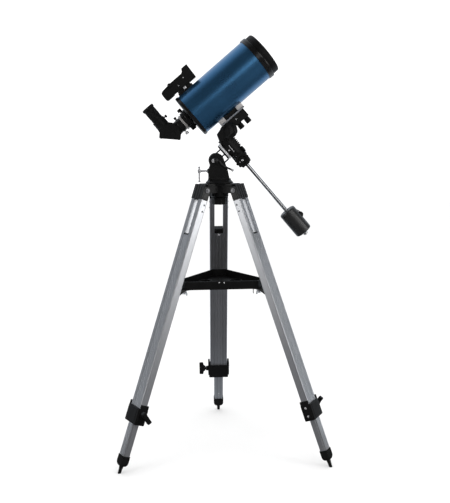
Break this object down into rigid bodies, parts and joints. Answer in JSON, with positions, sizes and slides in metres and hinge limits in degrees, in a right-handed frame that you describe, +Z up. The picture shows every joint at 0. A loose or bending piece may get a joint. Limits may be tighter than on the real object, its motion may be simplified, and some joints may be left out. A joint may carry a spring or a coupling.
{
  "type": "telescope on tripod",
  "caption": "Compact mirror-lens telescope with a dust cap and red dot finder, on an equatorial mount with a counterweight, on a tripod with sliding legs and an accessory tray.",
  "frame": {"origin": "on the ground, under the middle of the object's box", "axes": "+Z up; the telescope points towards +X and upwards; one leg points towards +Y"},
  "size_m": [0.5662, 0.508, 1.1079],
  "materials": {
    "satin_aluminium": "satin",
    "black_casting": "satin",
    "black_steel": "satin",
    "black_iron": "satin",
    "black_plastic": "satin",
    "black_rubber": "matte",
    "bright_metal": "polished",
    "blue_metallic": "satin",
    "silver_ring": "satin",
    "coated_glass": "gloss",
    "mirror_coating": "polished"
  },
  "bodies": {
    "tripod_head": {"tripod_head": "black_casting"},
    "azimuth_lock_knob": {"azimuth_lock_knob": "black_plastic"},
    "azimuth_base": {"azimuth_base": "black_casting"},
    "latitude_bolt": {"latitude_bolt": "bright_metal"},
    "latitude_lock_lever": {"latitude_lock_lever": "bright_metal"},
    "polar_body": {"polar_housing": "black_casting", "ra_setting_circle": "silver_ring"},
    "declination_body": {"dec_housing": "black_casting", "polar_axle": "bright_metal", "counterweight_shaft": "bright_metal", "shaft_end_stop": "black_plastic"},
    "dec_lock_knob": {"dec_lock_knob": "black_plastic"},
    "ra_slow_motion_knob": {"ra_slow_motion_knob": "black_plastic"},
    "counterweight": {"counterweight": "black_iron"},
    "counterweight_knob": {"counterweight_knob": "black_plastic"},
    "telescope": {"dec_head": "black_casting", "dec_axle": "bright_metal", "dovetail_saddle": "black_casting", "dovetail_rail": "silver_ring", "main_tube": "blue_metallic", "rear_cell": "black_casting", "front_ring": "black_casting", "corrector_lens": "coated_glass", "visual_back": "black_casting", "finder_base": "black_casting", "red_dot_finder": "black_plastic"},
    "saddle_knob_rear": {"saddle_knob_rear": "black_plastic"},
    "saddle_knob_front": {"saddle_knob_front": "black_plastic"},
    "focus_knob": {"focus_knob": "black_plastic"},
    "primary_mirror": {"primary_mirror": "mirror_coating", "baffle_tube": "black_casting"},
    "diagonal": {"star_diagonal": "black_plastic", "diagonal_mirror": "mirror_coating"},
    "eyepiece": {"eyepiece": "black_plastic"},
    "dust_cap": {"dust_cap": "black_plastic"},
    "accessory_tray": {"accessory_tray": "black_plastic", "tray_bracket_1": "black_steel", "tray_bracket_2": "black_steel", "tray_bracket_3": "black_steel"},
    "leg_1": {"leg_1_bracket": "black_casting", "leg_1_rail_left": "satin_aluminium", "leg_1_rail_right": "satin_aluminium", "leg_1_clamp": "black_plastic"},
    "leg_1_clamp_knob": {"leg_1_clamp_knob": "black_plastic"},
    "leg_1_lower": {"leg_1_lower_section": "satin_aluminium", "leg_1_foot": "black_rubber"},
    "leg_2": {"leg_2_bracket": "black_casting", "leg_2_rail_left": "satin_aluminium", "leg_2_rail_right": "satin_aluminium", "leg_2_clamp": "black_plastic"},
    "leg_2_clamp_knob": {"leg_2_clamp_knob": "black_plastic"},
    "leg_2_lower": {"leg_2_lower_section": "satin_aluminium", "leg_2_foot": "black_rubber"},
    "leg_3": {"leg_3_bracket": "black_casting", "leg_3_rail_left": "satin_aluminium", "leg_3_rail_right": "satin_aluminium", "leg_3_clamp": "black_plastic"},
    "leg_3_clamp_knob": {"leg_3_clamp_knob": "black_plastic"},
    "leg_3_lower": {"leg_3_lower_section": "satin_aluminium", "leg_3_foot": "black_rubber"}
  },
  "joints": [
    {"name": "azimuth_turn", "type": "hinge", "parent": "tripod_head", "child": "azimuth_base", "pos_m": [0, -0.06529, 0.729], "axis": [0, 0, 1], "continuous": true},
    {"name": "azimuth_lock_turn", "type": "hinge", "parent": "tripod_head", "child": "azimuth_lock_knob", "pos_m": [0, -0.06529, 0.685], "axis": [0, 0, 1], "continuous": true},
    {"name": "latitude_tilt", "type": "hinge", "parent": "azimuth_base", "child": "polar_body", "pos_m": [-0.008, -0.06529, 0.7885], "axis": [0, 1, 0], "range_deg": [-20, 10]},
    {"name": "latitude_bolt_turn", "type": "hinge", "parent": "azimuth_base", "child": "latitude_bolt", "pos_m": [-0.053, -0.06529, 0.761], "axis": [1, 0, 0], "continuous": true},
    {"name": "latitude_lever_turn", "type": "hinge", "parent": "azimuth_base", "child": "latitude_lock_lever", "pos_m": [-0.008, -0.09229, 0.7885], "axis": [0, 1, 0], "range_deg": [-20, 35]},
    {"name": "right_ascension_turn", "type": "hinge", "parent": "polar_body", "child": "declination_body", "pos_m": [0.01459, -0.06529, 0.81137], "axis": [0.766, 0, 0.6428], "range_deg": [-90, 90]},
    {"name": "declination_turn", "type": "hinge", "parent": "declination_body", "child": "telescope", "pos_m": [0.01678, -0.06529, 0.84454], "axis": [-0.6428, 0, 0.766], "range_deg": [-100, 100]},
    {"name": "dec_lock_turn", "type": "hinge", "parent": "declination_body", "child": "dec_lock_knob", "pos_m": [0.05947, -0.09029, 0.78899], "axis": [0, -1, 0], "continuous": true},
    {"name": "slow_motion_turn", "type": "hinge", "parent": "declination_body", "child": "ra_slow_motion_knob", "pos_m": [0.06807, -0.07129, 0.8223], "axis": [0.766, 0, 0.6428], "continuous": true},
    {"name": "saddle_knob_rear_turn", "type": "hinge", "parent": "telescope", "child": "saddle_knob_rear", "pos_m": [0.05866, -0.06529, 0.87707], "axis": [0.6428, 0, -0.766], "continuous": true},
    {"name": "saddle_knob_front_turn", "type": "hinge", "parent": "telescope", "child": "saddle_knob_front", "pos_m": [0.07666, -0.06529, 0.89218], "axis": [0.6428, 0, -0.766], "continuous": true},
    {"name": "counterweight_slide", "type": "slide", "parent": "declination_body", "child": "counterweight", "axis": [-0.6428, 0, 0.766], "range_m": [-0.003, 0.15]},
    {"name": "counterweight_knob_turn", "type": "hinge", "parent": "counterweight", "child": "counterweight_knob", "pos_m": [0.21784, -0.06529, 0.64382], "axis": [0.766, 0, 0.6428], "continuous": true},
    {"name": "focus_turn", "type": "hinge", "parent": "telescope", "child": "focus_knob", "pos_m": [-0.06803, -0.08529, 0.87559], "axis": [0.766, 0, 0.6428], "range_deg": [-2880, 2880]},
    {"name": "primary_mirror_slide", "type": "slide", "parent": "telescope", "child": "primary_mirror", "axis": [0.766, 0, 0.6428], "range_m": [-0.006, 0.006]},
    {"name": "diagonal_turn", "type": "hinge", "parent": "telescope", "child": "diagonal", "pos_m": [-0.10337, -0.06529, 0.87726], "axis": [0.766, 0, 0.6428], "continuous": true},
    {"name": "eyepiece_slide", "type": "slide", "parent": "diagonal", "child": "eyepiece", "axis": [-0.6428, 0, 0.766], "range_m": [0, 0.03]},
    {"name": "dust_cap_slide", "type": "slide", "parent": "telescope", "child": "dust_cap", "axis": [0.766, 0, 0.6428], "range_m": [0, 0.06]},
    {"name": "tray_slide", "type": "slide", "parent": "tripod_head", "child": "accessory_tray", "axis": [0, 0, -1], "range_m": [0, 0.4]},
    {"name": "leg_1_fold", "type": "hinge", "parent": "tripod_head", "child": "leg_1", "pos_m": [0, -0.01199, 0.712], "axis": [-1, 0, 0], "range_deg": [0, 11]},
    {"name": "leg_2_fold", "type": "hinge", "parent": "tripod_head", "child": "leg_2", "pos_m": [-0.04616, -0.09194, 0.712], "axis": [0.5, -0.866, 0], "range_deg": [0, 11]},
    {"name": "leg_3_fold", "type": "hinge", "parent": "tripod_head", "child": "leg_3", "pos_m": [0.04616, -0.09194, 0.712], "axis": [0.5, 0.866, 0], "range_deg": [0, 11]},
    {"name": "leg_1_clamp_knob_turn", "type": "hinge", "parent": "leg_1", "child": "leg_1_clamp_knob", "pos_m": [-0.045, 0.19447, 0.15024], "axis": [-1, 0, 0], "continuous": true},
    {"name": "leg_1_extend", "type": "slide", "parent": "leg_1", "child": "leg_1_lower", "axis": [0, 0.345, -0.9386], "range_m": [-0.08, 0.35]},
    {"name": "leg_2_clamp_knob_turn", "type": "hinge", "parent": "leg_2", "child": "leg_2_clamp_knob", "pos_m": [-0.20246, -0.23415, 0.15024], "axis": [0.5, -0.866, 0], "continuous": true},
    {"name": "leg_2_extend", "type": "slide", "parent": "leg_2", "child": "leg_2_lower", "axis": [-0.2988, -0.1725, -0.9386], "range_m": [-0.08, 0.35]},
    {"name": "leg_3_clamp_knob_turn", "type": "hinge", "parent": "leg_3", "child": "leg_3_clamp_knob", "pos_m": [0.24746, -0.15621, 0.15024], "axis": [0.5, 0.866, 0], "continuous": true},
    {"name": "leg_3_extend", "type": "slide", "parent": "leg_3", "child": "leg_3_lower", "axis": [0.2988, -0.1725, -0.9386], "range_m": [-0.08, 0.35]}
  ],
  "couplings": [
    {"joint": "leg_1_fold", "follows": "tray_slide", "rad_per_m": 0.4799},
    {"joint": "leg_2_fold", "follows": "tray_slide", "rad_per_m": 0.4799},
    {"joint": "leg_3_fold", "follows": "tray_slide", "rad_per_m": 0.4799},
    {"joint": "focus_turn", "follows": "primary_mirror_slide", "rad_per_m": 8377}
  ]
}
